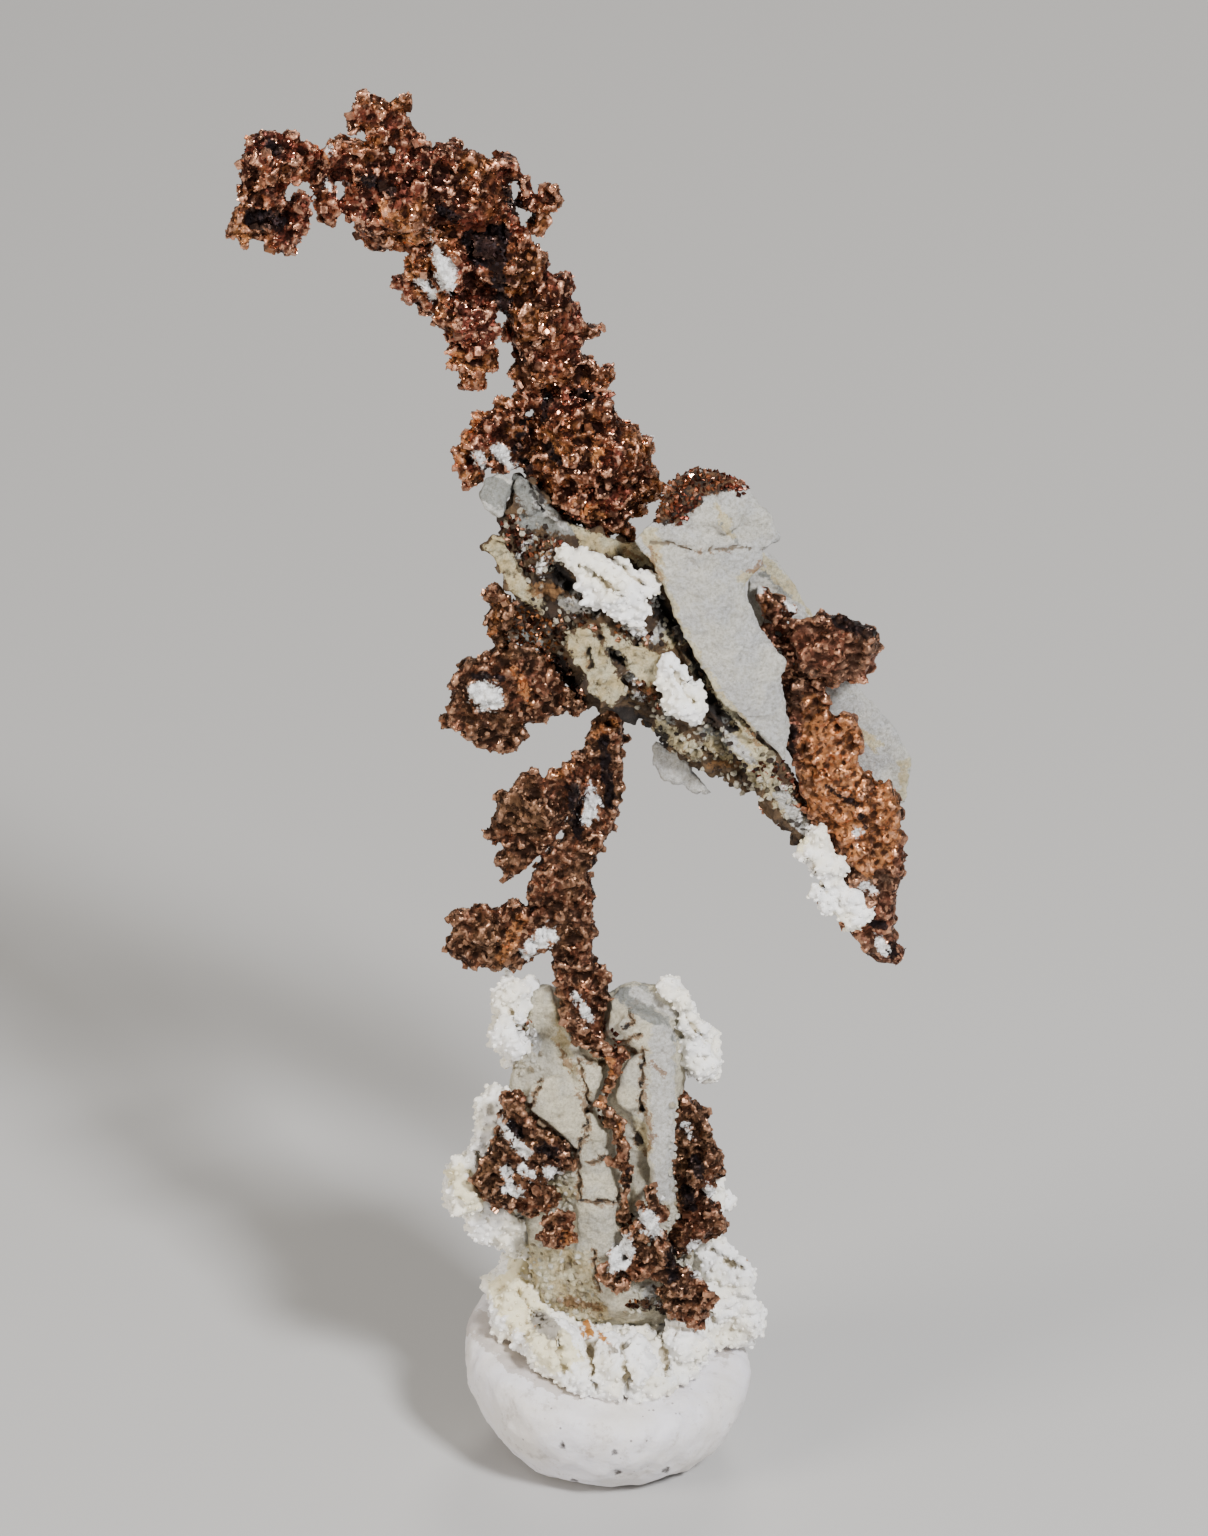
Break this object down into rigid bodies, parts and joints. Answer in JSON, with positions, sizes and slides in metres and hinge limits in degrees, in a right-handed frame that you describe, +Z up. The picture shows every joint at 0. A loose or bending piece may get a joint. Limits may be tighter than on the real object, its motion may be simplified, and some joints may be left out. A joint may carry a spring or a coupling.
{
  "type": "native copper specimen",
  "caption": "Small mineral specimen: branching native copper grown on pale rock with white crust, held upright in a round lump of white putty.",
  "frame": {"origin": "middle of the putty's flat underside, on the surface that it stands on", "axes": "+Z up along the specimen; +X to the right as the picture shows it, and -Y towards the viewer"},
  "size_m": [0.0339, 0.0148, 0.0772],
  "materials": {
    "copper": "tarnished reddish brown copper with bright crystal edges",
    "rock": "matt, fine grained, pale grey to cream with rust stains",
    "crust": "matt white granular crust",
    "putty": "soft matt white putty"
  },
  "bodies": {
    "root": {"putty_base": "putty", "copper_stem": "copper", "copper_vein": "copper", "lower_rock": "rock", "foot_crust": "crust", "copper_cluster_left": "copper", "copper_cluster_low": "copper", "copper_cluster_right": "copper", "copper_cluster_foot": "copper", "crust_shoulder_left": "crust", "crust_shoulder_right": "crust", "crust_left": "crust", "crust_right": "crust", "copper_stem_leaf": "copper", "copper_stem_spur": "copper", "upper_rock": "rock", "rock_front_sheet": "rock", "rock_back_sheet": "rock", "rock_pebble": "rock", "rock_flake": "rock", "crust_bright": "crust", "crust_little": "crust", "crust_tail": "crust", "copper_band": "copper", "copper_knob": "copper", "copper_left_lobe": "copper", "copper_left_knob": "copper", "copper_neck": "copper", "copper_neck_lobe": "copper", "copper_column": "copper", "copper_tongue": "copper", "copper_arm": "copper", "copper_crest": "copper", "copper_hook": "copper", "copper_curl": "copper"}
  },
  "joints": []
}
